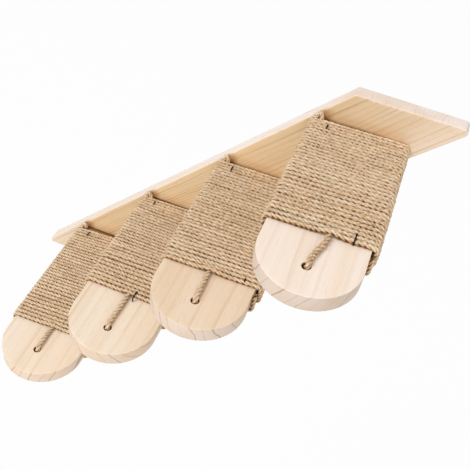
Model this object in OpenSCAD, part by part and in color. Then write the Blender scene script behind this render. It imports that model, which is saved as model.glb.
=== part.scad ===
// Wall stairway for cats: round-nosed treads standing out of one slanting back board, each tread
// wound with rope. Millimetres, +Z up, +X to the right along the wall, the wall at +Y.
// The origin is the middle of the board's back face.

/* [Stair] */
// Number of treads
tread_count = 4; // [3:1:6]
// Height of one step
step_rise = 101; // [80:1:160]
// Angle at which the board climbs to the right
rise_angle = 47; // [40:1:55]

/* [Back board] */
// Width of the board, square to its long edges
board_w = 92; // [86:1:140]
// Thickness of the board
board_t = 18; // [15:0.5:30]
// Height of bare board above the top tread and below the lowest one
board_end = 42; // [30:1:90]
// Rounding of the two pointed corners
point_r = 5; // [4:0.5:20]
// Rounding of the two blunt corners
blunt_r = 4; // [3:0.5:20]
// Rounding of the board's rim
board_rim_r = 1.5; // [0.5:0.1:2.5]

/* [Treads] */
// Width of a tread, also the diameter of its round nose
tread_w = 100; // [90:1:120]
// Thickness of a tread
tread_t = 18; // [15:0.5:30]
// Reach of a tread from the board to the tip of its nose
tread_len = 245; // [230:1:300]
// Rounding of a tread's long edges and nose
tread_edge_r = 1.5; // [0.5:0.1:3]
// Diameter of the hole that takes the rope's end
hole_d = 9; // [8:0.1:12]
// Middle of that hole from the tip of the nose
hole_inset = 34; // [20:1:50]

/* [Rope] */
// Thickness of the rope
rope_d = 6.4; // [4:0.1:7]
// Room between neighbouring turns
turn_gap = 1.2; // [0.9:0.1:2]
// Full turns on each tread, from the top tread down
wrap_turns = [20, 21, 20, 22]; // [8:1:23]
// Place across the tread where the rope leaves its last turn, from the top tread down
tail_side = [6, -1, 0, 2]; // [-12:0.5:12]
// Bend of the rope beside the board
start_bend_r = 3.6; // [3.6:0.1:6]
// Bend of the rope where it leaves its last turn
tail_bend_r = 6; // [4:0.1:10]
// Room between the rope and the wood
rope_seat = 0.3; // [0.1:0.05:0.5]
// Thickness of the stopper knot under the tread
knot_d = 13; // [12.5:0.5:20]
// Height of the stopper knot
knot_h = 9; // [6:0.5:14]

/* [Staples] */
// Width of the staple wire
staple_w = 1.2; // [0.8:0.1:2]
// Thickness of the staple wire
staple_t = 0.6; // [0.4:0.05:0.7]
// Turns of rope under a staple's crown
staple_turns = 1; // [1:1:2]
// Depth of the legs in the wood
staple_bite = 6; // [3:0.5:6.5]
// Start staples, in from the tread's left edge
start_staple_inset = 16.5; // [11:0.5:20]
// End staples, to the right of the tread's middle, as shares of its width, from the top tread down
end_staple_shares = [0.32, 0.37, 0.09, 0.34]; // [0.08:0.01:0.4]

/* [Fixings] */
// Shank of a tread screw
screw_d = 4.5; // [3:0.1:5]
// Length of a tread screw
screw_len = 60; // [45:1:80]
// Head of a tread screw
screw_head_d = 8.6; // [7:0.1:10]
// Distance between a tread's two screws
screw_spread = 60; // [40:1:70]
// Width of a hanger plate
hanger_w = 18; // [16:0.5:24]
// Length of a hanger plate
hanger_len = 50; // [46:0.5:60]
// Thickness of a hanger plate
hanger_t = 2.5; // [2:0.1:4]
// Round part of the keyhole, which passes the head of a wall screw
keyhole_d = 9; // [8:0.1:10]
// Narrow part of the keyhole, which holds the wall screw's shank
keyhole_slot_w = 5; // [4.4:0.1:5.5]
// Rise from the middle of the round part to the end of the narrow part
keyhole_rise = 12; // [10:0.5:14]
// Depth of the pocket behind the keyhole, from the back face
pocket_depth = 10; // [8:0.5:12]
// Shank of a hanger screw
hanger_screw_d = 3; // [2.5:0.1:3.5]
// Length of a hanger screw
hanger_screw_len = 14; // [10:0.5:14]
// Head of a hanger screw
hanger_screw_head_d = 5.8; // [5:0.1:6.5]
// Middle of a hanger screw from the end of its plate
hanger_screw_inset = 6; // [5:0.1:7]

/* [Hidden] */
$fn = 64;
pine = [0.94, 0.82, 0.65];
pale_pine = [0.97, 0.89, 0.77];
jute = [0.78, 0.65, 0.47];
black_steel = [0.12, 0.12, 0.13];
zinc = [0.74, 0.75, 0.77];

// Cuts run past the faces that they open by this much
overrun = 1;
// Room round a staple's leg, round a screw, and round a hanger in its recess
leg_fit = 0.05;
screw_fit = 0.1;
recess_fit = 0.1;
// Room under a staple's crown
crown_seat = 0.1;
// Room in the pocket round the head of a wall screw
pocket_room = 0.5;
// A screw's cross recess and blunt tip, as shares of its shank, head and the head's height
recess_w_share = 0.2;
recess_reach_share = 0.55;
recess_depth_share = 0.8;
tip_share = 0.25;

// Treads stand on the board's middle line
step_run = step_rise / tan(rise_angle);
board_half_h = ((tread_count - 1) * step_rise + tread_t) / 2 + board_end;
board_half_chord = board_w / sin(rise_angle) / 2;
board_shift = board_half_h / tan(rise_angle);
nose_r = tread_w / 2;
straight_len = tread_len - nose_r;
hole_y = tread_len - hole_inset;

// Steps up from the middle of the stair, for tread i counted from the top
function steps_up(i) = (tread_count + 1) / 2 - i;
function tread_x(i) = steps_up(i) * step_run;
function tread_z(i) = steps_up(i) * step_rise;
function pick(list, i) = list[(i - 1) % len(list)];

// The rope's middle line goes round a tread's four edges in pairs of half bends, against the clock
// as seen from the nose. Its corners are numbered from the end of the run over the top.
loop_corners = 8;
last_corner = loop_corners - 1;
half_bend = 180 / loop_corners;
// Part of a turn's advance that the run over the top takes: below the tread the rope comes back a little
top_advance_share = 1.15;
pitch = rope_d + turn_gap;
rope_r = rope_d / 2;
lay_r = tread_edge_r + rope_seat + rope_r;
mitre_r = lay_r / cos(half_bend);
edge_x = tread_w / 2 - tread_edge_r;
edge_z = tread_t / 2 - tread_edge_r;
top_x = edge_x + lay_r * tan(half_bend);
top_z = edge_z + lay_r;
bend_cut_share = 1 - tan(half_bend);
start_x = start_bend_r - edge_x;
start_y = rope_seat + rope_d + start_bend_r;
start_cut = start_bend_r * bend_cut_share;
tail_cut = tail_bend_r * bend_cut_share;
drop_cut = hole_d / 2 * bend_cut_share;
knot_z = -tread_t / 2 - rope_seat;
// Heights down the knot at which it is full, as shares of its own height
knot_full_shares = [0.15, 0.8];

// Side of the rope's six-sided section: flat towards the neighbouring turns
rope_sides = 6;
section = [for (j = [0 : rope_sides - 1])
    [rope_r * cos(j * 360 / rope_sides), rope_r * sin(j * 360 / rope_sides) / cos(180 / rope_sides)]];

function unit(v) = v / norm(v);
function corner_angle(k) = 90 + half_bend + 2 * half_bend * k;
function corner_x(k) = sign(cos(corner_angle(k))) * edge_x + mitre_r * cos(corner_angle(k));
function corner_z(k) = sign(sin(corner_angle(k))) * edge_z + mitre_r * sin(corner_angle(k));
function corner_y(turn, k) = start_y + pitch * (turn + (1 - top_advance_share) * k / last_corner);
// Distance from the board of the run over the top in one turn, at one place across the tread
function pass_y(turn, x) = corner_y(turn, last_corner) + pitch * top_advance_share * (top_x - x) / (2 * top_x);

// The route in the tread's own place: across, out from the board, up. Each point carries the side of
// the rope that faces away from the wood and the rope's swelling there.
up = [0, 0, 1];
out = [0, 1, 0];
swell = knot_d / rope_d;
function start_route() = [
    [[start_x, rope_seat, top_z], up, 1],
    [[start_x, start_y - start_cut, top_z], up, 1],
    [[start_x - start_cut, start_y, top_z], up, 1]];
function turn_route(turns) = [for (turn = [0 : turns], k = [0 : last_corner])
    [[corner_x(k), corner_y(turn, k), corner_z(k)], [cos(corner_angle(k)), 0, sin(corner_angle(k))], 1]];
function tail_route(turns, side) = let (leave_y = pass_y(turns, side + tail_cut)) [
    [[side + tail_cut, leave_y, top_z], up, 1],
    [[side, leave_y + tail_cut, top_z], up, 1],
    [[0, hole_y - drop_cut, top_z], up, 1],
    [[0, hole_y, top_z - drop_cut], out, 1],
    [[0, hole_y, knot_z], out, 1],
    for (share = knot_full_shares) [[0, hole_y, knot_z - knot_h * share], out, swell],
    [[0, hole_y, knot_z - knot_h], out, 1],
    [[0, hole_y, knot_z - knot_h - rope_d], out, 1]];
function rope_route(i) = concat(start_route(), turn_route(pick(wrap_turns, i)),
    tail_route(pick(wrap_turns, i), pick(tail_side, i)));

// One ring of the tube, in the plane that halves the bend at its point
function ring(before, after, point, face, size) = let (
        along = unit(before + after),
        away = unit(face - (face * along) * along),
        beside = cross(along, away),
        turned = after - before,
        inward = norm(turned) > 0 ? unit(turned) : away,
        stretch = 2 / norm(before + after) - 1)
    [for (s = section) let (q = size * (s[0] * away + s[1] * beside)) point + q + stretch * (q * inward) * inward];
function heading(route, k) = unit(route[k + 1][0] - route[k][0]);
function tube(route) = let (last = len(route) - 1) [for (k = [0 : last]) each ring(
    heading(route, max(k - 1, 0)), heading(route, min(k, last - 1)), route[k][0], route[k][1], route[k][2])];
function tube_faces(rings) = concat(
    [for (r = [0 : rings - 2], j = [0 : rope_sides - 1]) let (
            a = r * rope_sides + j,
            b = r * rope_sides + (j + 1) % rope_sides) each [
        [a, b, b + rope_sides],
        [a, b + rope_sides, a + rope_sides]]],
    [for (j = [1 : rope_sides - 2]) [0, j + 1, j]],
    [for (j = [1 : rope_sides - 2]) let (e = (rings - 1) * rope_sides) [e, e + j, e + j + 1]]);

// Least gap between one turn and the next two, on points spread along the middle line
gap_samples = 12;
function spread(route) = [for (k = [0 : len(route) - 2], s = [0 : gap_samples - 1])
    route[k][0] + (route[k + 1][0] - route[k][0]) * s / gap_samples];
function least_gap(route) = let (p = spread(route), near = gap_samples * (loop_corners - 3)) min(
    [for (a = [0 : len(p) - near - 1], b = [a + near : min(a + 4 * near, len(p) - 1)]) norm(p[b] - p[a])]) - rope_d;

// Puts a piece at tread i, with its own Y still running towards the wall
module at_tread(i) {
    translate([tread_x(i), -board_t, tread_z(i)]) children();
}

// A rod straight out from the plane of the wall
module rod(x, z, from, to, d) {
    translate([x, -from, z]) rotate([90, 0, 0]) cylinder(d = d, h = to - from);
}

// A slot with round ends, standing upright, between two depths
module upright_slot(w, len, from, to) {
    span = len - w;
    translate([-w / 2, -to, -span / 2]) cube([w, to - from, span]);
    for (side = [-1, 1])
        rod(0, side * span / 2, from, to, w);
}

// Half of a slab's section with rounded corners, from its middle line to its rim
module slab_half(reach, t, r) {
    translate([0, -t / 2]) square([reach - r, t]);
    translate([0, r - t / 2]) square([reach, t - 2 * r]);
    for (side = [-1, 1])
        translate([reach - r, side * (t / 2 - r)]) circle(r);
}

// One rounded corner of the board, with its rounded rim
module board_corner(x, z, r) {
    translate([x, -board_t / 2, z]) rotate([90, 0, 0])
        rotate_extrude($fn = 32) intersection() {
            slab_half(r, board_t, board_rim_r, $fn = 24);
            translate([0, -board_t]) square([r, 2 * board_t]);
        }
}

// A countersunk screw, head flush with the plane at zero, running out from the wall
module screw_body(d, len, head_d) {
    tip = d;
    head_h = (head_d - d) / 2;
    recess_w = d * recess_w_share;
    recess_reach = head_d * recess_reach_share;
    recess_depth = head_h * recess_depth_share;
    difference() {
        rotate([90, 0, 0]) rotate_extrude() polygon([
            [0, 0], [head_d / 2, 0], [d / 2, head_h], [d / 2, len - tip], [d / 2 * tip_share, len], [0, len]]);
        for (turn = [0, 90])
            rotate([0, turn, 0]) translate([-recess_reach / 2, -recess_depth, -recess_w / 2])
                cube([recess_reach, recess_depth + overrun, recess_w]);
    }
}

// The hole that such a screw sits in
module screw_hole(d, len, head_d) {
    head_h = (head_d - d) / 2;
    grow = 2 * screw_fit;
    rotate([90, 0, 0]) rotate_extrude() polygon([
        [0, -overrun], [head_d / 2 + screw_fit + overrun, -overrun], [d / 2 + screw_fit, head_h + screw_fit],
        [d / 2 + screw_fit, len + grow], [0, len + grow]]);
}

// Places of a tread's screws, across the tread
screw_places = [-screw_spread / 2, screw_spread / 2];

// Hangers sit midway between the two treads at each end
function hanger_steps(h) = (h == 1 ? 1 : -1) * (tread_count / 2 - 1);
module at_hanger(h) {
    translate([hanger_steps(h) * step_run, 0, hanger_steps(h) * step_rise]) children();
}
hanger_screw_place = hanger_len / 2 - hanger_screw_inset;
hanger_screw_places = [hanger_screw_place, -hanger_screw_place];

module back_board() {
    point_reach = point_r / sin(rise_angle / 2);
    blunt_reach = blunt_r / cos(rise_angle / 2);
    half = rise_angle / 2;
    color(pine) difference() {
        hull() for (end = [-1, 1]) {
            board_corner(
                end * (board_shift + board_half_chord - point_reach * cos(half)),
                end * (board_half_h - point_reach * sin(half)), point_r);
            board_corner(
                end * (board_shift - board_half_chord + blunt_reach * sin(half)),
                end * (board_half_h - blunt_reach * cos(half)), blunt_r);
        }
        for (i = [1 : tread_count], x = screw_places)
            translate([tread_x(i) + x, 0, tread_z(i)]) screw_hole(screw_d, screw_len, screw_head_d);
        for (h = [1, 2])
            at_hanger(h) {
                upright_slot(hanger_w + 2 * recess_fit, hanger_len + 2 * recess_fit, -overrun, hanger_t);
                upright_slot(keyhole_d + 2 * pocket_room, keyhole_rise + keyhole_d + 2 * pocket_room,
                    -overrun, pocket_depth);
                for (z = hanger_screw_places)
                    rod(0, z, -overrun, hanger_screw_len + screw_fit, hanger_screw_d + 2 * screw_fit);
            }
    }
}

// Where the back of a staple stands: it spans whole turns, the first or the last ones
staple_span = staple_turns * pitch;
function start_staple_x() = start_staple_inset - tread_w / 2;
function start_staple_y() = pass_y(0, start_staple_x()) - pitch / 2;
function end_staple_x(i) = tread_w * pick(end_staple_shares, i);
function end_staple_y(i) = pass_y(pick(wrap_turns, i), end_staple_x(i)) + pitch / 2 - staple_span;

module staple_legs(x, y, room) {
    for (leg_y = [y, y + staple_span])
        translate([x - staple_w / 2 - room, -leg_y - staple_t / 2 - room, tread_t / 2 - staple_bite - room])
            cube([staple_w + 2 * room, staple_t + 2 * room,
                staple_bite + room + rope_seat + rope_d + crown_seat + staple_t]);
}

module staple(x, y) {
    color(black_steel) {
        staple_legs(x, y, 0);
        translate([x - staple_w / 2, -y - staple_span - staple_t / 2, top_z + rope_r + crown_seat])
            cube([staple_w, staple_span + staple_t, staple_t]);
    }
}

module tread(i) {
    color(pale_pine) at_tread(i) difference() {
        union() {
            rotate([90, 0, 0]) linear_extrude(straight_len) {
                slab_half(nose_r, tread_t, tread_edge_r);
                rotate(180) slab_half(nose_r, tread_t, tread_edge_r);
            }
            translate([0, -straight_len, 0]) rotate([0, 0, 180])
                rotate_extrude(angle = 180) slab_half(nose_r, tread_t, tread_edge_r);
        }
        translate([0, -hole_y, -tread_t / 2 - overrun]) cylinder(d = hole_d, h = tread_t + 2 * overrun);
        for (x = screw_places)
            rod(x, 0, -overrun, screw_len - board_t + screw_fit, screw_d + 2 * screw_fit);
        staple_legs(start_staple_x(), start_staple_y(), leg_fit);
        staple_legs(end_staple_x(i), end_staple_y(i), leg_fit);
    }
}

module rope(i) {
    route = rope_route(i);
    echo(str("rope ", i, ": least gap to itself, mm"), least_gap(route));
    placed = [for (p = tube(route)) [p[0], -p[1], p[2]]];
    color(jute) at_tread(i) polyhedron(placed, tube_faces(len(route)), convexity = loop_corners);
}

module start_staple(i) {
    at_tread(i) staple(start_staple_x(), start_staple_y());
}

module end_staple(i) {
    at_tread(i) staple(end_staple_x(i), end_staple_y(i));
}

module tread_screw(i, x) {
    color(zinc) translate([tread_x(i) + x, 0, tread_z(i)]) screw_body(screw_d, screw_len, screw_head_d);
}

module hanger(h) {
    color(zinc) at_hanger(h) difference() {
        upright_slot(hanger_w, hanger_len, 0, hanger_t);
        rod(0, -keyhole_rise / 2, -overrun, hanger_t + overrun, keyhole_d);
        translate([0, 0, keyhole_rise / 4])
            upright_slot(keyhole_slot_w, keyhole_rise / 2 + keyhole_slot_w, -overrun, hanger_t + overrun);
        for (z = hanger_screw_places)
            translate([0, 0, z]) screw_hole(hanger_screw_d, hanger_t + overrun, hanger_screw_head_d);
    }
}

module hanger_screw(h, z) {
    color(zinc) at_hanger(h) translate([0, 0, z])
        screw_body(hanger_screw_d, hanger_screw_len, hanger_screw_head_d);
}

back_board();
for (i = [1 : tread_count]) {
    tread(i);
    rope(i);
    start_staple(i);
    end_staple(i);
    for (s = [1, 2])
        tread_screw(i, screw_places[s - 1]);
}
for (h = [1, 2]) {
    hanger(h);
    for (s = [1, 2])
        hanger_screw(h, hanger_screw_places[s - 1]);
}
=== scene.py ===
import bpy
import numpy as np
from mathutils import Matrix, Vector


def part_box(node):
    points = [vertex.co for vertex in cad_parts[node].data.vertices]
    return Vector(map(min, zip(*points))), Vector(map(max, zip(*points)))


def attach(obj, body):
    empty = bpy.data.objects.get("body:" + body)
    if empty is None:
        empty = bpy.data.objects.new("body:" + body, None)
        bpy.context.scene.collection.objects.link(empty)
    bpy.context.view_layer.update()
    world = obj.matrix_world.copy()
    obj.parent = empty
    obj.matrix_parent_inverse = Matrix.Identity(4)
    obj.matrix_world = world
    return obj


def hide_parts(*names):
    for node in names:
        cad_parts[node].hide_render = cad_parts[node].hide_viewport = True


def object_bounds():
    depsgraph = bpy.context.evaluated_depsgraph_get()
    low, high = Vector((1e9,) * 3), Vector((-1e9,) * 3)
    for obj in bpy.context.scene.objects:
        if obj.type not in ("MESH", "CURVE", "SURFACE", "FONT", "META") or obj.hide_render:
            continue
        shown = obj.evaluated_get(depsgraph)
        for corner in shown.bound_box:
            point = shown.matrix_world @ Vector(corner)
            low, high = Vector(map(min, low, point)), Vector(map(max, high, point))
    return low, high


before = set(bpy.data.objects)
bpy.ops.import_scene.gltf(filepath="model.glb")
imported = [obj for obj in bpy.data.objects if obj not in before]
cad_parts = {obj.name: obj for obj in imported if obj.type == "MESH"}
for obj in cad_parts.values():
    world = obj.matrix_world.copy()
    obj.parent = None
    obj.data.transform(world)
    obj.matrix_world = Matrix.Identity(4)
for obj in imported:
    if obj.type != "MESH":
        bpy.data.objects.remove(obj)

cadBox = [list(corner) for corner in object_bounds()]
treads = [1, 2, 3, 4]
mm = 0.001
print("frame loaded:", len(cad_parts), "nodes")

# camera

cameraPlace = {
    "position": (0.16366, -0.657746, 0.618622),
    "right": (0.931875, 0.336869, 0.134639),
    "up": (-0.333521, 0.64952, 0.683292),
    "back": (0.142729, -0.681648, 0.717624),
    "lens": 55.159,
    "sensor": 36,
    "near": 0.01,
    "far": 50,
}


def makeCamera(place):
    data = bpy.data.cameras.new("camera")
    data.lens = place["lens"]
    data.sensor_width = place["sensor"]
    data.clip_start = place["near"]
    data.clip_end = place["far"]
    camera = bpy.data.objects.new("camera", data)
    bpy.context.collection.objects.link(camera)
    turn = Matrix((place["right"], place["up"], place["back"])).transposed().to_4x4()
    camera.matrix_world = Matrix.Translation(Vector(place["position"])) @ turn
    bpy.context.scene.camera = camera


makeCamera(cameraPlace)
print("camera placed")

# mesh helpers


def gridFaces(rows, cols, closeRows=False, closeCols=True):
    # every cell of a grid of rows times cols points as four corners; a closed side joins last to first
    i, j = np.meshgrid(
        np.arange(rows if closeRows else rows - 1),
        np.arange(cols if closeCols else cols - 1), indexing="ij")
    nextRow = (i + 1) % rows
    nextCol = (j + 1) % cols
    cells = [i * cols + j, i * cols + nextCol, nextRow * cols + nextCol, nextRow * cols + j]
    return np.stack(cells, axis=-1).reshape(-1, 4)


def enclosed(points, faces):
    # signed volume: the sum over the faces' triangles of corner dot (corner cross corner) over six
    a, b, c, d = (points[faces[:, k]] for k in range(4))
    return (np.einsum("ij,ij->i", a, np.cross(b, c)) + np.einsum("ij,ij->i", a, np.cross(c, d))).sum() / 6


def tubeFaces(points, rows, cols):
    # the four-cornered faces of a tube and its two end caps, all turned outward
    quads = gridFaces(rows, cols)
    ring = np.arange(cols)
    caps = np.stack([ring[::-1], ring + (rows - 1) * cols])
    if enclosed(points, quads) < 0:
        quads, caps = quads[:, ::-1], caps[:, ::-1]
    return quads, caps


def fillMesh(name, points, faceSets):
    # points are rows of x, y, z in metres; each face set is an array with one face per row
    mesh = bpy.data.meshes.new(name)
    corners = np.concatenate([f.ravel() for f in faceSets]).astype(np.int32)
    sizes = np.concatenate([np.full(len(f), f.shape[1]) for f in faceSets])
    mesh.vertices.add(len(points))
    mesh.vertices.foreach_set("co", np.ascontiguousarray(points, dtype=np.float32).ravel())
    mesh.loops.add(len(corners))
    mesh.loops.foreach_set("vertex_index", corners)
    mesh.polygons.add(len(sizes))
    mesh.polygons.foreach_set("loop_start", (np.cumsum(sizes) - sizes).astype(np.int32))
    mesh.polygons.foreach_set("use_smooth", np.ones(len(sizes), dtype=bool))
    mesh.update(calc_edges=True)
    mesh.validate()
    return mesh


def storeValues(mesh, name, values):
    store = mesh.attributes.new(name, "FLOAT", "POINT")
    store.data.foreach_set("value", values.astype(np.float32).ravel())


def addPiece(name, mesh, material, node):
    piece = bpy.data.objects.new(name, mesh)
    bpy.context.collection.objects.link(piece)
    mesh.materials.append(material)
    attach(piece, "root")
    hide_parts(node)


def vec(x, y, z):
    return np.array([x, y, z], dtype=float)


def unit(v):
    return v / np.linalg.norm(v, axis=-1, keepdims=True)


def repeat(v, count):
    return np.tile(v, (count, 1))


def blend(a, b, count):
    t = np.linspace(0, 1, count)[:, None]
    return a * (1 - t) + b * t


def bezier(a, b, c, d, count):
    t = np.linspace(0, 1, count)[:, None]
    return (1 - t) ** 3 * a + 3 * t * (1 - t) ** 2 * b + 3 * t * t * (1 - t) * c + t ** 3 * d


def eased(t):
    # from zero to one with level ends: three t squared less two t cubed
    return t * t * (3 - 2 * t)


def drift(length, step, size, seed):
    # smooth wandering value along a length: seeded random knots joined by eased steps
    knots = np.random.default_rng(seed).uniform(-1, 1, int(np.max(length) / step) + 3)
    at = length / step
    k = np.floor(at).astype(int)
    share = eased(at - k)
    return size * (knots[k] * (1 - share) + knots[k + 1] * share)


def treadPlace(i):
    # size in millimetres; origin in metres, in the middle of the tread's end at the board
    low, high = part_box("tread_" + str(i))
    size = (np.array(high) - np.array(low)) / mm
    middle = (np.array(high) + np.array(low)) / 2
    return size, np.array([middle[0], high[1], middle[2]])


def toFrame(local, origin):
    # across, out from the board and up, in millimetres, become the frame's x, y and z in metres
    return origin + local * np.array([mm, -mm, mm])


# node helpers


def freshMaterial(name):
    material = bpy.data.materials.new(name)
    material.use_nodes = True
    tree = material.node_tree
    tree.nodes.clear()
    output = tree.nodes.new("ShaderNodeOutputMaterial")
    shader = tree.nodes.new("ShaderNodeBsdfPrincipled")
    tree.links.new(shader.outputs["BSDF"], output.inputs["Surface"])
    return material, tree, shader


def put(tree, kind, inputs=None, **settings):
    made = tree.nodes.new(kind)
    for key, value in settings.items():
        setattr(made, key, value)
    for key, value in (inputs or {}).items():
        if isinstance(value, bpy.types.NodeSocket):
            tree.links.new(value, made.inputs[key])
        else:
            made.inputs[key].default_value = value
    return made


def maths(tree, operation, a, b=0.0, c=0.0):
    return put(tree, "ShaderNodeMath", {0: a, 1: b, 2: c}, operation=operation).outputs[0]


def times(tree, a, b):
    return maths(tree, "MULTIPLY", a, b)


def split(tree, vector):
    return put(tree, "ShaderNodeSeparateXYZ", {"Vector": vector}).outputs


def stored(tree, name):
    return put(tree, "ShaderNodeAttribute", attribute_name=name).outputs["Fac"]


def between(tree, value, low, high, start=0.0, end=1.0):
    # from start at low to end at high, and level outside
    return put(tree, "ShaderNodeMapRange", {
        "Value": value, "From Min": low, "From Max": high, "To Min": start, "To Max": end}).outputs[0]


def blendColour(tree, share, a, b, how="MIX"):
    made = put(tree, "ShaderNodeMix", {0: share, 6: a, 7: b}, data_type="RGBA", blend_type=how)
    return made.outputs[2]


def tinted(tree, colour, tint):
    return blendColour(tree, 1.0, colour, tint, "MULTIPLY")


def ramp(tree, value, stops):
    made = put(tree, "ShaderNodeValToRGB", {"Fac": value})
    marks = made.color_ramp.elements
    while len(marks) < len(stops):
        marks.new(0.5)
    for mark, (place, tone) in zip(marks, stops):
        mark.position = place
        mark.color = tone if isinstance(tone, tuple) else (tone, tone, tone, 1)
    return made.outputs["Color"]


def noise(tree, where, scale, detail=3.0, rough=0.55, warp=0.0):
    # three scales draw the noise out along the axes
    if isinstance(scale, tuple):
        where = put(tree, "ShaderNodeMapping", {"Vector": where, "Scale": scale}).outputs["Vector"]
        scale = 1.0
    inputs = {"Vector": where, "Scale": scale, "Detail": detail, "Roughness": rough, "Distortion": warp}
    return put(tree, "ShaderNodeTexNoise", inputs).outputs["Fac"]


def finishSurface(tree, shader, colour, rough, height, bump, gloss):
    # bump is its strength and its distance in metres
    raised = put(tree, "ShaderNodeBump", {"Height": height, "Strength": bump[0], "Distance": bump[1]})
    tree.links.new(colour, shader.inputs["Base Color"])
    tree.links.new(rough, shader.inputs["Roughness"])
    tree.links.new(raised.outputs["Normal"], shader.inputs["Normal"])
    shader.inputs["Specular IOR Level"].default_value = gloss


def dress(node, material):
    for slot in bpy.data.objects[node].material_slots:
        slot.material = material


# pine

# noise scales along the grain and across it, two noises' shares of a ring's wander, and the tones laid over
# the rings
pineForm = {
    "slow": (2.2, 14, 14),
    "small": (9, 70, 70),
    "fibre": (18, 1300, 1300),
    "streak": (5, 190, 190),
    "band": (1.6, 34, 34),
    "fleck": (110, 800, 800),
    "slowShare": 2,
    "smallShare": 0.35,
    "bandTone": (0.93, 0.85, 0.74, 1),
    "fleckTone": (0.53, 0.31, 0.13, 1),
    "rough": (0.22, 0.44),
    "lateHeight": 0.5,
    "bump": (0.2, 0.0004),
    "gloss": 0.3,
}


def ringParts(tree, uneven, ring):
    # place within each ring from zero to one, and a random value for each ring
    count = maths(tree, "DIVIDE", uneven, ring)
    whole = maths(tree, "FLOOR", count)
    chance = put(tree, "ShaderNodeTexWhiteNoise", {"W": whole}, noise_dimensions="1D").outputs["Value"]
    return maths(tree, "FRACT", count), chance


def lateWood(tree, rings, chance, lowest):
    # each ring darkens slowly and ends sharply, some rings less than others
    late = ramp(tree, rings, [(0.0, 0.25), (0.08, 0.0), (0.6, 0.05), (0.86, 0.7), (0.95, 1.0)])
    return times(tree, late, ramp(tree, chance, [(0.1, lowest), (0.95, 1.0)]))


def cutRings(tree, rings, chance):
    # on cut faces a ring is one thin line
    thin = ramp(tree, rings, [(0.86, 0.0), (0.93, 1.0), (0.97, 1.0), (1.0, 0.0)])
    return times(tree, thin, ramp(tree, chance, [(0.2, 0.15), (0.9, 1.0)]))


def pine(name, look, form, scorchAndShade):
    # growth rings: distance from a pith line along the grain, made uneven, cut into rings with a slow
    # rise and a sharp end; fibres, bands and flecks are noise drawn out along the grain
    material, tree, shader = freshMaterial(name)
    place = put(tree, "ShaderNodeTexCoord").outputs["Object"]
    placeX = split(tree, place)["X"]
    grain = put(tree, "ShaderNodeMapping", {
        "Vector": place, "Rotation": look["turn"], "Location": look["pith"]}).outputs["Vector"]
    axes = split(tree, grain)
    across = put(tree, "ShaderNodeCombineXYZ", {"Y": axes["Y"], "Z": axes["Z"]}).outputs[0]
    radius = put(tree, "ShaderNodeVectorMath", {0: across}, operation="LENGTH").outputs["Value"]
    slow = noise(tree, grain, form["slow"], 2.0)
    small = noise(tree, grain, form["small"], 2.0)
    uneven = maths(tree, "MULTIPLY_ADD", slow, look["wander"] * form["slowShare"], radius)
    uneven = maths(tree, "MULTIPLY_ADD", small, look["wander"] * form["smallShare"], uneven)
    rings, chance = ringParts(tree, uneven, look["ring"])
    late = lateWood(tree, rings, chance, look["lowest"])
    if "wideRing" in look:
        wide = lateWood(tree, *ringParts(tree, uneven, look["wideRing"]), look["lowest"])
        late = blendColour(tree, between(tree, placeX, *look["widen"]), late, wide)
        late = times(tree, late, between(tree, placeX, *look["fade"]))
    fibre = noise(tree, grain, form["fibre"], 4.0, 0.7)
    streak = noise(tree, grain, form["streak"], 3.0, 0.6)
    normal = put(tree, "ShaderNodeNewGeometry").outputs["Normal"]
    facing = maths(tree, "ABSOLUTE", split(tree, normal)[look["faceAxis"]])
    cutFace = ramp(tree, facing, [(0.35, 1.0), (0.85, 0.0)])
    share = times(tree, late, ramp(tree, streak, [(0.3, 0.15), (0.65, 1.0)]))
    share = blendColour(tree, cutFace, share, cutRings(tree, rings, chance))
    weight = maths(tree, "MULTIPLY_ADD", cutFace, look["cutLines"], look["lateShare"])
    early = blendColour(tree, cutFace, look["early"], look["cut"])
    if "tint" in look:
        early = tinted(tree, early, look["tint"])
    # tones along the board's length paint light in part: paler at the left end, and painted shade near the
    # top tread
    if "along" in look:
        along = between(tree, placeX, *look["span"])
        faceToned = tinted(tree, early, ramp(tree, along, look["along"]))
        cutToned = tinted(tree, early, ramp(tree, along, look["cutAlong"]))
        early = blendColour(tree, maths(tree, "SUBTRACT", 1.0, cutFace), cutToned, faceToned)
    lines = blendColour(tree, cutFace, look["late"], look["cutLate"])
    colour = blendColour(tree, times(tree, share, weight), early, lines)
    band = ramp(tree, noise(tree, grain, form["band"], 2.0), [(0.40, (1, 1, 1, 1)), (0.66, form["bandTone"])])
    colour = blendColour(tree, look["bands"], colour, tinted(tree, colour, band))
    colour = tinted(tree, colour, ramp(tree, fibre, [(0.3, 0.93), (0.6, 1.0)]))
    fleck = ramp(tree, noise(tree, grain, form["fleck"], 1.0), [(0.65, 0.0), (0.73, 1.0)])
    colour = blendColour(tree, times(tree, fleck, look["flecks"]), colour, form["fleckTone"])
    # painted shade in the board's corners above the treads and in the treads' holes and corners; the hole's
    # brown is partly burnt wood
    colour = scorchAndShade(tree, place, colour, look)
    rough = maths(tree, "MULTIPLY_ADD", fibre, *form["rough"])
    height = maths(tree, "MULTIPLY_ADD", late, form["lateHeight"], fibre)
    finishSurface(tree, shader, colour, rough, height, form["bump"], form["gloss"])
    return material
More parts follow.
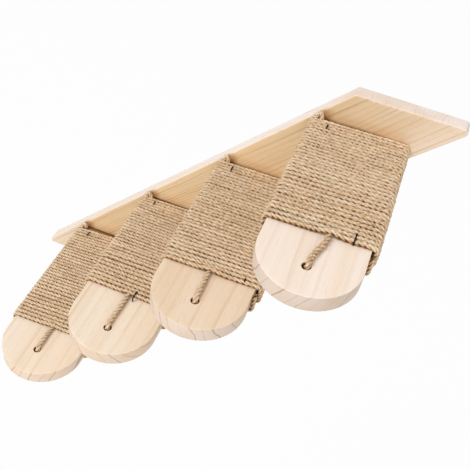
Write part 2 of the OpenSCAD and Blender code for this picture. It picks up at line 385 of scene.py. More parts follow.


# board

# tones run from the board's left end to its right end and in part paint light: paler at the left end, and
# painted shade darker near the top tread; "widen" and "fade" give the places between which the rings grow
# wider and paler
boardPine = {
    "turn": (0, np.radians(47), 0),
    "pith": (0.3, 0.035, 0.155),
    "faceAxis": "Y",
    "ring": 0.0034,
    "wideRing": 0.0072,
    "widen": (-0.03, 0.11),
    "fade": (0.12, 0.22, 1.0, 0.5),
    "wander": 0.015,
    "lowest": 0.3,
    "early": (0.95, 0.755, 0.56, 1),
    "late": (0.52, 0.31, 0.15, 1),
    "lateShare": 1.15,
    "span": (-0.25, 0.25),
    "along": [
        (0.09, (1.05, 1.11, 1.19, 1)), (0.15, (1.02, 1.01, 0.88, 1)), (0.56, (0.965, 0.905, 0.74, 1)),
        (0.655, (0.945, 0.885, 0.735, 1)), (0.70, (0.825, 0.78, 0.62, 1)), (0.92, (0.89, 0.90, 0.92, 1))],
    "cut": (0.935, 0.82, 0.74, 1),
    "cutAlong": [
        (0.70, (1, 1, 1, 1)), (0.76, (0.92, 0.88, 0.83, 1)), (0.84, (0.92, 0.88, 0.83, 1)),
        (0.92, (1, 1, 1.05, 1))],
    "cutLate": (0.52, 0.31, 0.15, 1),
    "cutLines": -0.62,
    "bands": 0.8,
    "flecks": 0.25,
    # painted shade above each tread: metres from the board's face, a tread's sides and its top, from where a
    # mark begins to where it is full; each mark has a least and a most share and a tone, and "depth" is the
    # line's strength at each tread
    "corner": {
        "depth": (0.55, 0.25, 1.0, 1.0),
        "face": (0.004, 0.002),
        "sides": (0.004, -0.006),
        "under": (-0.004, -0.002),
        "line": (0.0042, 0.0015),
        "band": (0.018, 0.0),
        "patchAside": (0.020, 0.013),
        "patchAbove": (0.017, 0.007),
        "soft": (60, 60, 260),
        "softFrom": (0.3, 0.7),
        "marks": {
            "band": (0.35, 0.75, (0.60, 0.31, 0.11, 1)),
            "patch": (0.65, 1.0, (0.40, 0.175, 0.055, 1)),
            "line": (0.7, 0.95, (0.12, 0.045, 0.009, 1)),
        },
    },
}


def boardPaintedShade(tree, place, colour, look):
    # painted shade on the board's face in the corner above each tread: a thin dark line of painted contact
    # shadow in a soft brown band of painted shade, and a browner patch of painted shadow beside the rope's
    # start
    form = look["corner"]
    axes = split(tree, place)
    boardFace = float(treadPlace(1)[1][1])
    face = between(tree, axes["Y"], boardFace + form["face"][0], boardFace + form["face"][1])
    found = {"band": 0.0, "patch": 0.0, "line": 0.0}
    for i, depth in zip(treads, form["depth"]):
        size, origin = treadPlace(i)
        half = size[0] / 2 * mm
        over = maths(tree, "SUBTRACT", axes["Z"], float(origin[2] + size[2] / 2 * mm))
        left = maths(tree, "SUBTRACT", axes["X"], float(origin[0] - half))
        aside = maths(tree, "ABSOLUTE", maths(tree, "SUBTRACT", axes["X"], float(origin[0])))
        near = times(tree, between(tree, aside, half + form["sides"][0], half + form["sides"][1]), face)
        above = times(tree, near, between(tree, over, *form["under"]))
        beside = between(tree, left, *form["patchAside"])
        here = {
            "band": between(tree, over, *form["band"]),
            "patch": times(tree, beside, between(tree, over, *form["patchAbove"])),
            "line": between(tree, over, *form["line"], 0.0, depth),
        }
        for key in found:
            found[key] = maths(tree, "MAXIMUM", found[key], times(tree, above, here[key]))
    soft = noise(tree, place, form["soft"], 2.0)
    # each mark blends its painted shade tone in, broken up by soft noise
    for key, (least, most, tone) in form["marks"].items():
        share = times(tree, found[key], between(tree, soft, *form["softFrom"], least, most))
        colour = blendColour(tree, share, colour, tone)
    return colour


dress("back_board", pine("boardPine", boardPine, pineForm, boardPaintedShade))
print("board dressed")

# treads

# lengths in millimetres; "faceRows" are the rows' places between the hole's rim and the edge
treadForm = {
    "edge": 0.6, "noseSteps": 96, "sideSteps": 40, "backSteps": 24, "edgeSteps": 5,
    "faceRows": (0.02, 0.1, 0.4, 0.8, 1.0),
    "hole": 4.5, "holeInset": 34, "holeRim": 0.25, "boreReach": 0.9, "boreShare": 0.85,
}
treadPine = {
    "turn": (0, 0, np.radians(-90)),
    "faceAxis": "Z",
    "ring": 0.0105,
    "wander": 0.013,
    "lowest": 0.1,
    "early": (0.915, 0.79, 0.665, 1),
    "late": (0.66, 0.44, 0.25, 1),
    "cutLate": (0.47, 0.30, 0.18, 1),
    "cutLines": 0.5,
    "bands": 0.6,
    "boreScorchAndShade": (0.33, 0.165, 0.07, 1),
    "jointShadeTone": (0.24, 0.10, 0.022, 1),
    "jointShadeFrom": (-0.0258, -0.0205),
}
# pith from each tread's middle along the grain, across and up; the joint value is the strength of the
# painted shade in the corner with the board
treadLook = {
    1: {"pith": (0.1, 0.125, 0.05), "lateShare": 0.30, "flecks": 0.12, "jointShade": 0.45,
        "cut": (0.72, 0.60, 0.495, 1), "tint": (1.036, 1.03, 1.054, 1)},
    2: {"pith": (0.7, -0.11, 0.045), "lateShare": 0.58, "flecks": 0.24, "jointShade": 0.4,
        "cut": (0.855, 0.755, 0.70, 1), "tint": (0.93, 0.87, 0.78, 1)},
    3: {"pith": (1.3, 0.10, -0.06), "lateShare": 0.52, "flecks": 0.24, "jointShade": 0.8,
        "cut": (0.85, 0.68, 0.545, 1), "tint": (0.98, 0.96, 0.91, 1)},
    4: {"pith": (1.9, -0.135, -0.05), "lateShare": 0.46, "flecks": 0.22, "jointShade": 0.9,
        "cut": (0.873, 0.726, 0.60, 1), "tint": (0.99, 0.965, 0.92, 1)},
}


def treadScorchAndShade(tree, place, colour, look):
    # the hole's wall is brown, partly as burnt wood and partly as painted shade in the hole, and painted
    # shade darkens the wood towards the corner with the board
    colour = blendColour(tree, stored(tree, "bore"), colour, look["boreScorchAndShade"])
    jointShade = between(tree, split(tree, place)["Y"], *look["jointShadeFrom"], 0.0, look["jointShade"])
    return blendColour(tree, jointShade, colour, look["jointShadeTone"])


def treadMesh(i, form):
    # a tread with one hole is a ring: columns follow the outline, rows go from the hole's rim over the
    # top, round the edge, back below and up the hole's wall
    size, origin = treadPlace(i)
    half, length, thick = size[0] / 2, size[1], size[2]
    r = form["edge"]
    straight = length - half
    side = np.linspace(0, straight, form["sideSteps"], endpoint=False)
    turn = np.linspace(0, np.pi, form["noseSteps"] + 1)
    back = np.linspace(r - half, half - r, form["backSteps"])
    zero = np.zeros_like
    x = np.concatenate([zero(side) + half, half * np.cos(turn), zero(side) - half, back])
    y = np.concatenate([side, straight + half * np.sin(turn), side[::-1], zero(back)])
    nx = np.concatenate([zero(side) + 1, np.cos(turn), zero(side) - 1, zero(back)])
    ny = np.concatenate([zero(side), np.sin(turn), zero(side), zero(back) - 1])
    edge = np.concatenate([zero(side) + r, zero(turn) + r, zero(side) + r, zero(back)])
    holeY = length - form["holeInset"]
    inX, inY = x - nx * edge, y - ny * edge
    away = np.hypot(inX, inY - holeY)
    hx, hy = inX / away, (inY - holeY) / away
    rim, hole = form["holeRim"], form["hole"]
    bend = np.linspace(0, np.pi / 2, form["edgeSteps"] + 1)
    rows = []
    for sign in (1, -1):
        sheet = []
        for a in bend[::-1]:
            d = hole + rim * (1 - np.sin(a))
            z = thick / 2 - rim * (1 - np.cos(a))
            sheet.append((hx * d, holeY + hy * d, np.full_like(hx, sign * z)))
        for t in form["faceRows"]:
            d = (hole + rim) * (1 - t) + away * t
            sheet.append((hx * d, holeY + hy * d, np.full_like(hx, sign * thick / 2)))
        for a in bend[1:]:
            out = edge * np.sin(a)
            sheet.append((inX + nx * out, inY + ny * out, sign * (thick / 2 - edge * (1 - np.cos(a)))))
        rows += sheet[::sign]
    local = np.stack([np.stack(row, axis=-1) for row in rows])
    points = toFrame(local, origin).reshape(-1, 3)
    faces = gridFaces(local.shape[0], local.shape[1], closeRows=True)
    if enclosed(points, faces) < 0:
        faces = faces[:, ::-1]
    mesh = fillMesh("treadWood" + str(i), points, [faces])
    # the hole's wall is marked for its brown, which is partly burnt wood and partly painted shade
    inHole = np.hypot(local[..., 0], local[..., 1] - holeY) < hole + rim * form["boreReach"]
    storeValues(mesh, "bore", inHole * form["boreShare"])
    return mesh


for i in treads:
    _, origin = treadPlace(i)
    shift, aside, lift = treadLook[i]["pith"]
    look = {**treadPine, **treadLook[i], "pith": (shift, origin[0] + aside, lift - origin[2])}
    wood = pine("treadPine" + str(i), look, pineForm, treadScorchAndShade)
    addPiece("treadWood" + str(i), treadMesh(i, treadForm), wood, "tread_" + str(i))
print("treads made")

# jute rope

# lengths in millimetres: thickness wound and free, and the strands' lay; the corner that the winding goes
# round, and the stub at its start; the tail's tuck under the last row, its bend into the hole, and the knot.
# "swingBack" and "dimAfter" say from which share of the last turn, and over how much of it, the swing goes
# back and the rope's painted shade deepens; "stubShade", "tailShade" and the runs' "startShade" and
# "evenShade" are how dark the painted shade is on the stub, on the tail, at a run's hidden start and all
# along it; pulls are the curves' handles; "looseEnd" is along the coil, out and down
ropeForm = {
    "wound": 5.1, "closest": 4.8, "widest": 5.7, "free": 6.4, "press": 0.12,
    "lay": 16.4, "strand": 0.57, "lobePoints": 6, "step": 1.65, "sample": 0.35,
    "corner": 1.5, "clear": 0.15, "shortOf": 1.0, "humpWidth": 9.0, "gapRun": 2.5,
    "swingBack": (0.84, 0.12, 0.7), "dimAfter": (0.8, 0.1),
    "tipSunk": 0.8, "stubPulls": ((-0.5, 0.2), (1.5, 0.1)), "stubRise": 1.3, "stubSteps": 30,
    "tuck": 4.0, "tuckAside": 0.6, "tuckSunk": 1.3, "tuckOut": 6.5, "tuckPulls": (3, 4),
    "tailPulls": (0.1, 0.3), "dropBend": 4.6,
    "knotRadius": 5.9, "knotTurns": 1.7, "knotRise": 5.8, "knotTop": 2.0,
    "knotPulls": (6.5, (1.5, 6.0, -3.0)), "looseEnd": ((5, 0, 0), (8, 2, 3), (9, 2.5, 12)),
    "steps": {"tuck": 24, "tail": 60, "dip": 30, "shaft": 40, "under": 40, "coil": 120, "loose": 40},
    "fatFade": 9, "tapers": (0.9, 0.85), "stubShade": 0.25, "tailShade": 0.12,
    "windingRun": {"startFat": 0.22, "startShade": 0.0, "evenShade": 0.0},
    "tailRun": {"startFat": -0.2, "startShade": 0.8, "evenShade": 0.25},
}
# painted shade by the cosine of the angle from the side that faces away: where each begins, how soon it is
# full and how deep it is
ropeDark = {
    "gap": (0.62, 0.28), "gapDepth": 0.7, "gapLimits": (0.15, 1.4),
    "under": (0.3, 0.5), "underDepth": 1.6, "startFade": 5, "strandTone": 0.5,
}
# unevenness along the rope: millimetres between random knots, size, and the number its seeds start from
ropeDrift = {
    "row": (80, 0.32, 40),
    "rowFine": (19, 0.16, 50),
    "lay": (30, 0.26, 70),
    "fat": (23, 0.04, 80),
    "lobe": (8, 0.085, 90),
    "tone": (14, 1.0, 150),
    "slowTone": (320, 0.6, 190),
    "gap": (17, 0.3, 210),
    "gapFine": (5, 0.55, 230),
}
# rows in millimetres out from the board where x is "at": from the turn in "loose" each row lies that much
# further on, "gap" is one wider space and its turn, "slopes" the rows' lean per 100 from first to last row;
# at the right side rows stand out by "bulge", and the last turn swings forward by "swing" and takes painted
# shade by "dim"; "fill" is a row's thickness to its pitch, "shade" how dark the painted shade in the gaps
# is; "end" is where the rope's end lies beside the board, and the height of its hump
ropeWrap = {
    1: {"turns": 31, "first": 4.6, "pitch": 5.02, "loose": (16, 0.8), "gap": (99, 0.0), "at": 0.0,
        "slopes": (4.5, 3.0, 2.2, 3.5, 3.5), "lift": 3.0, "tail": 8.6, "hole": 0.9, "shade": 1.08,
        "fill": 0.98, "bulge": 2.4, "swing": 8.0, "dim": 0.45, "end": (-42.7, 3.2, 9.0)},
    2: {"turns": 34, "first": 5.0, "pitch": 4.95, "loose": (25, 0.3), "gap": (99, 0.0), "at": -23.0,
        "slopes": (4.0, 1.0, 2.0, 3.0, 2.5), "lift": 2.6, "tail": -0.6, "hole": 0.0, "shade": 0.95,
        "fill": 0.99, "bulge": 3.0, "swing": 12.5, "dim": 1.0, "end": (-42.2, 3.2, 9.0)},
    3: {"turns": 31, "first": 4.6, "pitch": 4.88, "loose": (24.5, 0.8), "gap": (22, 3.3), "at": -21.0,
        "slopes": (2.5, -1.0, -0.5, 1.5, -1.0), "lift": 1.8, "tail": 1.0, "hole": -0.4, "shade": 0.85,
        "fill": 1.005, "bulge": 2.8, "swing": 9.0, "dim": 0.8, "end": (-42.2, 3.2, 9.0)},
    4: {"turns": 33, "first": 8.4, "pitch": 5.0, "loose": (21, 0.6), "gap": (99, 0.0), "at": -27.0,
        "slopes": (6.0, 5.0, 3.5, 4.5, 2.5), "lift": 1.8, "tail": 0.8, "hole": 0.6, "shade": 0.75,
        "fill": 1.005, "bulge": 2.4, "swing": 8.0, "dim": 0.45, "end": (-43.0, 3.2, 7.0)},
}


def ropeWander(kind, far, seed):
    step, size, start = ropeDrift[kind]
    return drift(far, step, size, start + seed)


def loopRound(along, halfX, halfZ, bend):
    # a rectangle with round corners, walked from the right end of its top to the left and on round
    lengths = np.array([2 * halfX, bend * np.pi / 2, 2 * halfZ, bend * np.pi / 2] * 2)
    ends = np.cumsum(lengths)
    leg = np.minimum(np.searchsorted(ends, along, side="right"), len(ends) - 1)
    share = (along - (ends - lengths)[leg]) / lengths[leg]
    quarter = np.array([0, 0, 1, 1, 2, 2, 3, 3])[leg]
    angle = np.pi / 2 * (1 + quarter + np.where(leg % 2 == 1, share, 0.0))
    cornerX = np.array([1, -1, -1, -1, -1, 1, 1, 1])[leg] * halfX
    cornerZ = np.array([1, 1, 1, -1, -1, -1, -1, 1])[leg] * halfZ
    straight = np.where(leg % 2 == 0, share * lengths[leg], 0.0)
    walk = angle + np.pi / 2
    x = cornerX + bend * np.cos(angle) + straight * np.cos(walk)
    z = cornerZ + bend * np.sin(angle) + straight * np.sin(walk)
    return x, z, angle, ends


def rowPlace(turn, x, wrap):
    # a row's distance from the board: even pitch, a looser one later, one wider gap, and the row's lean
    gapTurn, gapSize = wrap["gap"]
    looseTurn, looseSize = wrap["loose"]
    loose = looseSize * np.maximum(turn - looseTurn, 0)
    lean = np.interp(turn / (wrap["turns"] - 1), np.linspace(0, 1, len(wrap["slopes"])), wrap["slopes"])
    opened = gapSize * eased(np.clip((turn - gapTurn) / ropeForm["gapRun"], 0, 1))
    middle = wrap["first"] + wrap["pitch"] * turn + loose + opened
    return middle + lean * (wrap["at"] - x) / 100


def join(parts, origin, thick, shade, under):
    # columns: place, side that faces away from the wood, thickness, painted shade between the rows and under
    # them
    line = toFrame(np.concatenate([p[0] for p in parts]), origin)
    face = np.concatenate([p[1] for p in parts]) * np.array([1, -1, 1])
    spread = [np.broadcast_to(value, len(line)) for value in (thick, shade, under)]
    return np.column_stack([line, face] + spread)


def windingRoute(i, form, wrap):
    # the rope's end makes a small hump beside the board, then goes round and round; the last row rises over
    # the tail, which lies under it, and swings forward below
    size, origin = treadPlace(i)
    half, thick = size[0] / 2, size[2]
    r = form["wound"] / 2 - form["press"]
    corner = form["corner"]
    halfX, halfZ, bend = half - corner, thick / 2 - corner, corner + r
    ends = loopRound(np.zeros(1), halfX, halfZ, bend)[3]
    around, topRun = ends[-1], ends[0]
    lastTurn = wrap["turns"] - 1
    stop = (lastTurn + 1) * around - bend * np.pi / 2 - form["shortOf"]
    far = np.arange(topRun - around, stop, form["sample"])
    turn = np.floor(far / around)
    within = far - turn * around
    x, z, angle, _ = loopRound(within, halfX, halfZ, bend)
    leave, arrive = rowPlace(turn, -halfX, wrap), rowPlace(turn + 1, halfX, wrap)
    onTop = within < topRun
    y = np.where(onTop, rowPlace(turn, x, wrap),
                 leave + (arrive - leave) * (within - topRun) / (around - topRun))
    y = y + ropeWander("row", far - far[0], i) + ropeWander("rowFine", far - far[0], i)
    below = np.clip((within - topRun) / (around - topRun), 0, 1) * (turn == lastTurn)
    backFrom, backRun, backShare = form["swingBack"]
    swing = wrap["swing"] * below ** 2 * (1 - backShare * np.clip((below - backFrom) / backRun, 0, 1))
    y = np.maximum(y, r + form["clear"]) + swing
    last = (turn == lastTurn) & onTop
    z = z + last * wrap["lift"] * np.exp(-((x - wrap["tail"]) / form["humpWidth"]) ** 2)
    outer = np.clip((x - halfX) / bend, 0, 1) * (turn < lastTurn)
    winding = np.stack([x + wrap["bulge"] * outer, y, z], axis=-1)
    windUp = np.stack([np.cos(angle), np.zeros_like(angle), np.sin(angle)], axis=-1)
    first = winding[0]
    tipX, tipY, hump = wrap["end"]
    tip = vec(tipX, tipY, thick / 2 + r - form["tipSunk"])
    tipPull, firstPull = (vec(*pull, hump * form["stubRise"]) for pull in form["stubPulls"])
    stub = bezier(tip, tip + tipPull, first + firstPull, first, form["stubSteps"])[:-1]
    before = np.zeros(len(stub))
    apart = rowPlace(turn + 1, x, wrap) - rowPlace(turn, x, wrap)
    fat = np.clip(apart * wrap["fill"], form["closest"], form["widest"])
    thickness = np.concatenate([before + form["wound"], fat])
    # painted shade: the gaps between rows take the wrap's shade and the stub a lighter one, and the last row
    # and the end of the last turn take more
    shade = np.concatenate([before + form["stubShade"], np.full(len(far), wrap["shade"])])
    dimFrom, dimRun = form["dimAfter"]
    under = np.concatenate([before, last + wrap["dim"] * np.clip((below - dimFrom) / dimRun, 0, 1)])
    parts = [(stub, repeat(vec(0, 0, 1), len(stub))), (winding, windUp)]
    return join(parts, origin, thickness, shade, under)


def tailRoute(i, form, wrap):
    # from under the last row over the bare wood to the hole, down through it and into the stopper knot
    size, origin = treadPlace(i)
    length, thick = size[1], size[2]
    r = form["free"] / 2 - form["press"] * 2
    top = thick / 2 + r
    up, out, down = vec(0, 0, 1), vec(0, 1, 0), vec(0, 0, -1)
    rowEnd = rowPlace(wrap["turns"] - 1, wrap["tail"], wrap)
    hidden = vec(wrap["tail"] + form["tuckAside"], rowEnd - form["tuck"], top - form["tuckSunk"])
    leave = vec(wrap["tail"], rowEnd + form["tuckOut"], top)
    steps = form["steps"]
    tuckStart, tuckEnd = form["tuckPulls"]
    tuck = bezier(hidden, hidden + out * tuckStart, leave - out * tuckEnd, leave, steps["tuck"])
    holeAt = vec(wrap["hole"], length - treadForm["holeInset"], top)
    drop = form["dropBend"]
    arrive = holeAt - out * drop
    chord = arrive - leave
    towards, forward = form["tailPulls"]
    pull = out * chord[1] * forward
    tail = bezier(leave, leave + chord * towards + pull, arrive - pull, arrive, steps["tail"])
    quarter = np.linspace(0, np.pi / 2, steps["dip"])[:, None]
    dip = holeAt - out * drop * (1 - np.sin(quarter)) - up * drop * (1 - np.cos(quarter))
    rho, rise, turns = form["knotRadius"], form["knotRise"], form["knotTurns"]
    low = -thick / 2 - r - rise * turns
    middle = vec(wrap["hole"], holeAt[1], 0)
    shaft = blend(dip[-1], middle + up * (low + form["knotTop"]), steps["shaft"])
    spin = np.pi + np.linspace(0, 2 * np.pi * turns, steps["coil"])
    coil = middle + np.stack([
        rho * np.cos(spin), rho * np.sin(spin), low + rise * (spin - np.pi) / (2 * np.pi)], axis=-1)
    plunge, entry = form["knotPulls"]
    under = bezier(shaft[-1], shaft[-1] + down * plunge, coil[0] + vec(*entry), coil[0], steps["under"])
    heading = vec(-np.sin(spin[-1]), np.cos(spin[-1]), 0)
    aside = vec(np.cos(spin[-1]), np.sin(spin[-1]), 0)
    ends = [coil[-1] + heading * a + aside * b + down * c for a, b, c in form["looseEnd"]]
    loose = bezier(coil[-1], *ends, steps["loose"])
    # each run with the side that faces away at its start and at its end
    runs = [(tail, up, up), (dip, up, out), (shaft, out, out), (under, out, down), (coil, down, down),
            (loose, down, -heading)]
    parts = [(tuck, repeat(up, len(tuck)))]
    parts += [(line[1:], blend(start, end, len(line))[1:]) for line, start, end in runs]
    # the tail's painted shade is the same all along it
    return join(parts, origin, form["free"], form["tailShade"], 0.0)


def evenSteps(route, step):
    # the same route with points at equal distances along it
    run = np.concatenate([[0], np.cumsum(np.linalg.norm(np.diff(route[:, :3], axis=0), axis=1))])
    at = np.linspace(0, run[-1], int(run[-1] / step))
    return np.stack([np.interp(at, run, column) for column in route.T], axis=-1), at


def turnedFrom(theta, begin, soft):
    # zero on the side that faces away from the wood, and one from where the rope has turned down far enough
    return np.clip((begin - np.cos(theta)) / soft, 0, 1)


def ropeShade(theta, far, shade, under, dark, seed, run):
    # tone: a drift of each strand and a slow one of all; the valley value is painted shade, dark where the
    # rope turns from the light, as deep as the gap beside it, and more at a hidden start and under the last
    # row
    tone = np.stack([ropeWander("tone", far, 10 * seed + k) for k in range(3)], axis=-1)
    tone = tone * dark["strandTone"] + ropeWander("slowTone", far, seed)[:, None]
    tone = np.repeat(tone, theta.shape[1] // 3, axis=1)
    depth = dark["gapDepth"] + ropeWander("gap", far, seed) + ropeWander("gapFine", far, seed)
    depth = shade * np.clip(depth, *dark["gapLimits"])
    valleyShade = turnedFrom(theta, *dark["gap"]) * depth[:, None]
    valleyShade = valleyShade + run["evenShade"] + run["startShade"] * np.exp(-far / dark["startFade"])[:, None]
    valleyShade = valleyShade + dark["underDepth"] * under[:, None] * turnedFrom(theta, *dark["under"])
    return tone.ravel(), valleyShade.ravel()


def ropeTube(route, form, seed, begin, run):
    # a section of three round lobes carried along the route and turned once in each lay, right-handed:
    # lobe radius = offset cos a + root(strand squared - offset squared sin squared a)
    route, at = evenSteps(route, form["step"] * mm)
    line, face = route[:, :3], route[:, 3:6]
    thick, shade, under = route[:, 6:].T
    along = unit(np.gradient(line, axis=0))
    away = unit(face - np.einsum("ij,ij->i", face, along)[:, None] * along)
    beside = np.cross(along, away)
    per = form["lobePoints"]
    a = np.pi / 3 * np.sin(np.linspace(-np.pi / 2, np.pi / 2, per + 1)[:-1])
    strand, offset = form["strand"], 1 - form["strand"]
    lobe = offset * np.cos(a) + np.sqrt(strand ** 2 - (offset * np.sin(a)) ** 2)
    angle = np.concatenate([a + k * 2 * np.pi / 3 for k in range(3)])
    reach = np.tile(lobe, 3)
    # how deep each point of the section lies in the crease between strands, for the painted shade there
    groove = 1 - (reach - reach.min()) / (1 - reach.min())
    far = at / mm
    turn = 2 * np.pi * (far / form["lay"] + ropeWander("lay", far, seed))
    startFat = run["startFat"] * np.exp(-far / form["fatFade"])
    fat = thick / 2 * mm * (1 + ropeWander("fat", far, seed) + startFat)
    theta = turn[:, None] + angle[None, :]
    lobeFat = 1 + np.stack([ropeWander("lobe", far, 10 * seed + k) for k in range(3)], axis=-1)
    radius = fat[:, None] * reach[None, :] * np.repeat(lobeFat, per, axis=1)
    radius[0] *= form["tapers"][0]
    radius[-1] *= form["tapers"][1]
    points = line[:, None, :] + radius[..., None] * (
        np.cos(theta)[..., None] * away[:, None, :] + np.sin(theta)[..., None] * beside[:, None, :])
    rows, cols = points.shape[:2]
    points = points.reshape(-1, 3)
    quads, caps = tubeFaces(points, rows, cols)
    uv = np.stack([np.repeat(at + begin, cols), np.tile(np.arange(cols) / cols, rows)], axis=-1)
    quadUv = uv[quads]
    # where the map closes round the rope, zero counts as one
    seam = (quadUv[..., 1].max(axis=1) > 0.9)[:, None] & (quadUv[..., 1] < 0.01)
    quadUv[..., 1][seam] = 1.0
    tone, valleyShade = ropeShade(theta, far, shade, under, ropeDark, seed, run)
    tube = {"points": points, "quads": quads, "caps": caps, "quadUv": quadUv.reshape(-1, 2),
            "capUv": uv[caps].reshape(-1, 2), "groove": np.tile(groove, rows), "tone": tone, "valleyShade": valleyShade}
    return tube, at[-1]


def ropeMesh(i, form, wrap):
    # two runs of one rope in one mesh: the winding, and the tail that comes out from under its last row
    winding, wound = ropeTube(windingRoute(i, form, wrap), form, i, 0.0, form["windingRun"])
    tail, free = ropeTube(tailRoute(i, form, wrap), form, i + len(treads), wound, form["tailRun"])
    shift = len(winding["points"])
    tail["quads"] = tail["quads"] + shift
    tail["caps"] = tail["caps"] + shift
    rope = {key: np.concatenate([winding[key], tail[key]]) for key in winding}
    mesh = fillMesh("ropeWrap" + str(i), rope["points"], [rope["quads"], rope["caps"]])
    layer = mesh.uv_layers.new(name="strandMap")
    uv = np.concatenate([rope["quadUv"], rope["capUv"]])
    layer.data.foreach_set("uv", uv.astype(np.float32).ravel())
    for name in ("groove", "tone", "valleyShade"):
        storeValues(mesh, name, rope[name])
    print("rope", i, "length", round(float(wound + free), 2), "m,", 2 * len(rope["quads"]), "triangles")
    return mesh


# "slant" is how many times round the rope the fibres shift in a metre; noise scales are along it and round it
juteLook = {
    "body": (0.945, 0.69, 0.455, 1),
    "pale": (1, 0.88, 0.68, 1),
    "brown": (0.58, 0.37, 0.185, 1),
    # the colour of the painted shade in the creases and gaps, which "creaseDark" and "valleyDark" blend in
    "recess": (0.215, 0.08, 0.008, 1),
    "scratch": (0.34, 0.19, 0.075, 1),
    "slant": 52.0,
    "stroke": (170, 13, 1),
    "fibre": (260, 60, 1),
    "toneShare": 0.04,
    "creaseDark": (0.9, 0.08),
    "valleyDark": 0.38,
    "rough": (0.2, 0.72),
    "fibreHeight": 0.35,
    "bump": (1.0, 0.0013),
    "gloss": 0.0,
}


def jute(name, look):
    # fibres lie almost along the rope's own line, across the strands: noise on the rope's map, sheared
    material, tree, shader = freshMaterial(name)
    strandMap = split(tree, put(tree, "ShaderNodeUVMap", uv_map="strandMap").outputs["UV"])
    sheared = maths(tree, "MULTIPLY_ADD", strandMap["X"], look["slant"], strandMap["Y"])
    lie = put(tree, "ShaderNodeCombineXYZ", {"X": strandMap["X"], "Y": sheared}).outputs[0]
    valleyShade = stored(tree, "valleyShade")
    stroke = noise(tree, lie, look["stroke"], 2.0, 0.5, 0.2)
    fibre = noise(tree, lie, look["fibre"], 3.0, 0.65)
    mixed = maths(tree, "MULTIPLY_ADD", stroke, 0.5, times(tree, fibre, 0.5))
    mixed = maths(tree, "MULTIPLY_ADD", stored(tree, "tone"), look["toneShare"], mixed)
    colour = ramp(tree, mixed, [(0.38, look["brown"]), (0.50, look["body"]), (0.62, look["pale"])])
    scratch = ramp(tree, fibre, [(0.34, 0.5), (0.46, 0.0)])
    colour = blendColour(tree, scratch, colour, look["scratch"])
    # painted shade: the creases between strands and the stored valley values blend the colour towards the
    # dark recess colour
    crease = ramp(tree, stored(tree, "groove"), [(0.22, 0.0), (0.78, 1.0)])
    creaseDark = maths(tree, "MULTIPLY_ADD", valleyShade, *look["creaseDark"])
    dark = maths(tree, "MULTIPLY_ADD", crease, creaseDark, times(tree, valleyShade, look["valleyDark"]))
    dark = put(tree, "ShaderNodeClamp", {"Value": dark}).outputs[0]
    colour = blendColour(tree, dark, colour, look["recess"])
    rough = maths(tree, "MULTIPLY_ADD", fibre, *look["rough"])
    height = maths(tree, "MULTIPLY_ADD", fibre, look["fibreHeight"], stroke)
    finishSurface(tree, shader, colour, rough, height, look["bump"], look["gloss"])
    return material


juteRope = jute("jute", juteLook)
for i in treads:
    addPiece("ropeWrap" + str(i), ropeMesh(i, ropeForm, ropeWrap[i]), juteRope, "rope_" + str(i))
print("ropes made")

# metal

metalForm = {
    "cloud": 420.0, "scratch": (2600, 2600, 160), "worn": 1500.0,
    "wornShare": 0.35, "cloudRough": 0.3, "bump": (0.15, 0.0002),
}


def metal(name, look, form):
    # plated or painted metal: cloudy roughness, fine scratches and a few brighter specks
    material, tree, shader = freshMaterial(name)
    place = put(tree, "ShaderNodeTexCoord").outputs["Object"]
    cloud = noise(tree, place, form["cloud"])
    scratch = noise(tree, place, form["scratch"], 2.0)
    worn = ramp(tree, noise(tree, place, form["worn"], 2.0), [(0.58, 0.0), (0.72, 1.0)])
    colour = blendColour(tree, times(tree, worn, form["wornShare"]), look["colour"], look["speck"])
    colour = tinted(tree, colour, ramp(tree, cloud, [(0.3, 0.82), (0.7, 1.0)]))
    rough = maths(tree, "MULTIPLY_ADD", cloud, form["cloudRough"], look["rough"])
    finishSurface(tree, shader, colour, rough, scratch, form["bump"], look["gloss"])
    shader.inputs["Metallic"].default_value = look["shine"]
    return material


# staples

stapleForm = {
    "width": 1.45, "thick": 0.62, "bend": 0.9, "lower": 1.7, "arch": 0.25,
    "points": 16, "crownSteps": 14, "bendSteps": 7, "legSteps": 5,
}
stapleSteel = {
    "colour": (0.011, 0.008, 0.006, 1), "speck": (0.04, 0.03, 0.022, 1),
    "shine": 0.0, "rough": 0.55, "gloss": 0.12,
}
# for each tread, how far the back and the front leg are moved towards the board, and how deep the crown
# is pressed
stapleSeat = {
    "start": [(0.2, 0.0, 0.0), (2.4, 3.8, 0.0), (3.8, 5.0, 0.0), (1.5, 1.5, 0.0)],
    "end": [(2.4, -1.2, -0.4), (1.2, 3.2, 0.8), (6.5, 2.0, -0.3), (3.0, 1.5, 0.2)],
}


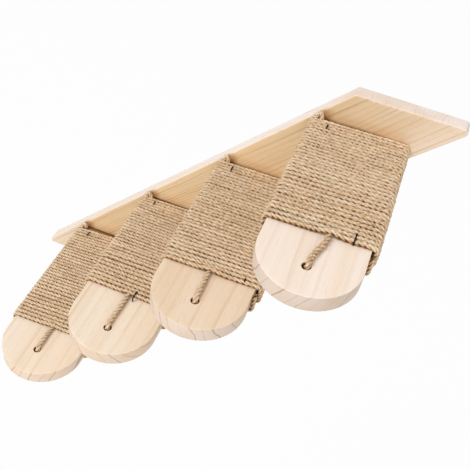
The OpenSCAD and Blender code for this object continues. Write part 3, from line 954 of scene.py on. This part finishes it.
def stapleMesh(node, form, seat):
    # a flat wire section carried up one leg, over the crown and down the other leg; the section is
    # a rounded rectangle: width sign(cos) root|cos| by thickness sign(sin) root|sin|
    low, high = (np.array(c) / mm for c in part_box(node))
    moveBack, moveFront, pressed = seat
    t, bend = form["thick"], form["bend"]
    x = (low[0] + high[0]) / 2
    top = high[2] - t / 2 - form["lower"] - pressed
    back, front = high[1] - t / 2 + moveBack, low[1] + t / 2 + moveFront
    quarter = np.linspace(0, np.pi / 2, form["bendSteps"])
    crown = np.linspace(0, 1, form["crownSteps"])[1:-1]
    leg = np.linspace(low[2], top - bend, form["legSteps"])[:-1]
    run = back - front - 2 * bend
    y = np.concatenate([
        np.full_like(leg, back), back - bend * (1 - np.cos(quarter)), back - bend - run * crown,
        front + bend * (1 - np.sin(quarter)), np.full_like(leg, front)])
    z = np.concatenate([
        leg, top - bend * (1 - np.sin(quarter)), top + form["arch"] * np.sin(np.pi * crown),
        top - bend * (1 - np.cos(quarter)), leg[::-1]])
    line = np.stack([np.full_like(y, x), y, z], axis=-1)
    along = unit(np.gradient(line, axis=0))
    side = repeat(vec(1, 0, 0), len(line))
    away = np.cross(side, along)
    a = np.linspace(0, 2 * np.pi, form["points"], endpoint=False)
    across = form["width"] / 2 * np.sign(np.cos(a)) * np.abs(np.cos(a)) ** 0.5
    deep = t / 2 * np.sign(np.sin(a)) * np.abs(np.sin(a)) ** 0.5
    points = line[:, None, :] + across[:, None] * side[:, None, :] + deep[:, None] * away[:, None, :]
    rows, cols = points.shape[:2]
    points = points.reshape(-1, 3) * mm
    return fillMesh(node, points, tubeFaces(points, rows, cols))


stapleBlack = metal("stapleBlack", stapleSteel, metalForm)
for i in treads:
    for kind in ("start", "end"):
        node = kind + "_staple_" + str(i)
        wire = stapleMesh(node, stapleForm, stapleSeat[kind][i - 1])
        addPiece(kind + "Staple" + str(i), wire, stapleBlack, node)
print("staples made")

# screws and hanger plates keep their solids

fixingZinc = {
    "colour": (0.70, 0.71, 0.73, 1), "speck": (0.86, 0.86, 0.84, 1),
    "shine": 1.0, "rough": 0.22, "gloss": 0.5,
}
zincPlate = metal("zincPlate", fixingZinc, metalForm)
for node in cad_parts:
    if "screw" in node or "hanger" in node:
        dress(node, zincPlate)
print("fixings dressed")

# floor, world and lamps

floorForm = {
    "drop": 1.1, "half": 14.0, "lines": 9,
    "colour": (0.84, 0.835, 0.825, 1), "rough": 0.9, "white": 0.95,
}
worldLevel = 0.5
lampAim = (0, -0.12, 0)
lamps = {
    "key": {"at": (-3.6, -2.4, 6.2), "size": 4.2, "power": 335},
    "fill": {"at": (1.3, -3.8, 1.0), "size": 2.8, "power": 55},
}


def seenAsBackground(tree):
    # one for rays that show the background itself, and zero for those that only light the part
    path = put(tree, "ShaderNodeLightPath").outputs
    seen = maths(tree, "MAXIMUM", path["Is Camera Ray"], path["Is Glossy Ray"])
    return maths(tree, "MAXIMUM", seen, path["Is Transmission Ray"])


def makeFloor(form):
    low = cadBox[0][2] - form["drop"]
    grid = np.linspace(-form["half"], form["half"], form["lines"])
    x, y = np.meshgrid(grid, grid, indexing="ij")
    points = np.stack([x, y, np.full_like(x, low)], axis=-1).reshape(-1, 3)
    mesh = fillMesh("floor", points, [gridFaces(form["lines"], form["lines"], closeCols=False)])
    floor = bpy.data.objects.new("floor", mesh)
    bpy.context.collection.objects.link(floor)
    material, tree, shader = freshMaterial("paleFloor")
    shader.inputs["Base Color"].default_value = form["colour"]
    shader.inputs["Roughness"].default_value = form["rough"]
    white = put(tree, "ShaderNodeEmission", {"Color": (1, 1, 1, 1), "Strength": 1.0})
    share = times(tree, seenAsBackground(tree), form["white"])
    mixed = put(tree, "ShaderNodeMixShader", {0: share, 1: shader.outputs["BSDF"], 2: white.outputs[0]})
    output = next(n for n in tree.nodes if n.type == "OUTPUT_MATERIAL")
    tree.links.new(mixed.outputs[0], output.inputs["Surface"])
    mesh.materials.append(material)


def makeWorld(level):
    world = bpy.data.worlds.new("studio")
    bpy.context.scene.world = world
    world.use_nodes = True
    tree = world.node_tree
    tree.nodes.clear()
    strength = maths(tree, "MULTIPLY_ADD", seenAsBackground(tree), 1.0 - level, level)
    sky = put(tree, "ShaderNodeBackground", {"Color": (1, 1, 1, 1), "Strength": strength})
    output = put(tree, "ShaderNodeOutputWorld")
    tree.links.new(sky.outputs[0], output.inputs["Surface"])


def makeLamp(name, look):
    data = bpy.data.lights.new(name, "AREA")
    data.size = look["size"]
    data.energy = look["power"]
    lamp = bpy.data.objects.new(name, data)
    bpy.context.collection.objects.link(lamp)
    lamp.location = look["at"]
    aim = Vector(lampAim) - Vector(look["at"])
    lamp.rotation_euler = aim.to_track_quat("-Z", "Y").to_euler()


makeFloor(floorForm)
makeWorld(worldLevel)
for name in lamps:
    makeLamp(name, lamps[name])
bpy.context.scene.view_settings.view_transform = "Standard"
print("studio made")
